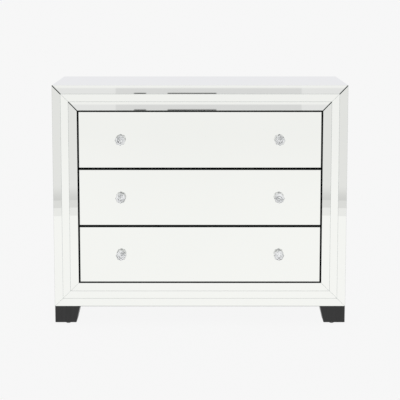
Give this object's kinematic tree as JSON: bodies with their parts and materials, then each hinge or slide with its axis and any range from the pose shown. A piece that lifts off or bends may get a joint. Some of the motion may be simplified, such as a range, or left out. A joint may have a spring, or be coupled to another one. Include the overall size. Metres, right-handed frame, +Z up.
{
  "type": "chest of drawers",
  "caption": "Straight-sided chest of drawers faced in mirror glass, with a stepped mitred frame, crystal knobs and short tapered feet. Its drawers slide out on side runners.",
  "frame": {"origin": "on the floor under the middle of the whole outline, knobs included", "axes": "+X to the right seen from the front, +Y to the back, +Z up; the drawers open towards -Y"},
  "size_m": [1, 0.484, 0.826],
  "materials": {
    "mirror": "silvered glass with polished edges",
    "black_board": "black painted fibreboard",
    "drawer_board": "black stained board",
    "hardboard": "black faced hardboard",
    "black_foot": "satin black lacquer",
    "crystal": "clear cut crystal",
    "chrome": "polished",
    "zinc_steel": "zinc plated",
    "glide_plastic": "moulded"
  },
  "bodies": {
    "carcass": {"left_side_panel": "black_board", "right_side_panel": "black_board", "top_panel": "black_board", "bottom_panel": "black_board", "back_panel": "hardboard", "left_runner_panel": "black_board", "right_runner_panel": "black_board", "top_rail": "black_board", "bottom_rail": "black_board", "left_stile": "black_board", "right_stile": "black_board", "top_mirror": "mirror", "left_side_mirror": "mirror", "right_side_mirror": "mirror", "outer_bevel_rail_mirrors": "mirror", "outer_bevel_stile_mirrors": "mirror", "flat_rail_mirrors": "mirror", "flat_stile_mirrors": "mirror", "inner_bevel_rail_mirrors": "mirror", "inner_bevel_stile_mirrors": "mirror", "front_left_foot": "black_foot", "front_right_foot": "black_foot", "rear_left_foot": "black_foot", "rear_right_foot": "black_foot", "foot_glides": "glide_plastic", "foot_bolts": "zinc_steel", "back_panel_screws": "zinc_steel", "left_runners": "zinc_steel", "right_runners": "zinc_steel"},
    "lower_drawer": {"lower_drawer_front": "black_board", "lower_drawer_mirror": "mirror", "lower_drawer_left_side": "drawer_board", "lower_drawer_right_side": "drawer_board", "lower_drawer_back": "drawer_board", "lower_drawer_bottom": "drawer_board", "lower_drawer_slides": "zinc_steel", "lower_knob_bases": "chrome", "lower_knob_crystals": "crystal", "lower_knob_screws": "zinc_steel"},
    "middle_drawer": {"middle_drawer_front": "black_board", "middle_drawer_mirror": "mirror", "middle_drawer_left_side": "drawer_board", "middle_drawer_right_side": "drawer_board", "middle_drawer_back": "drawer_board", "middle_drawer_bottom": "drawer_board", "middle_drawer_slides": "zinc_steel", "middle_knob_bases": "chrome", "middle_knob_crystals": "crystal", "middle_knob_screws": "zinc_steel"},
    "upper_drawer": {"upper_drawer_front": "black_board", "upper_drawer_mirror": "mirror", "upper_drawer_left_side": "drawer_board", "upper_drawer_right_side": "drawer_board", "upper_drawer_back": "drawer_board", "upper_drawer_bottom": "drawer_board", "upper_drawer_slides": "zinc_steel", "upper_knob_bases": "chrome", "upper_knob_crystals": "crystal", "upper_knob_screws": "zinc_steel"}
  },
  "joints": [
    {"name": "lower_drawer_slide", "type": "slide", "parent": "carcass", "child": "lower_drawer", "axis": [0, -1, 0], "range_m": [0, 0.26]},
    {"name": "middle_drawer_slide", "type": "slide", "parent": "carcass", "child": "middle_drawer", "axis": [0, -1, 0], "range_m": [0, 0.26]},
    {"name": "upper_drawer_slide", "type": "slide", "parent": "carcass", "child": "upper_drawer", "axis": [0, -1, 0], "range_m": [0, 0.26]}
  ]
}
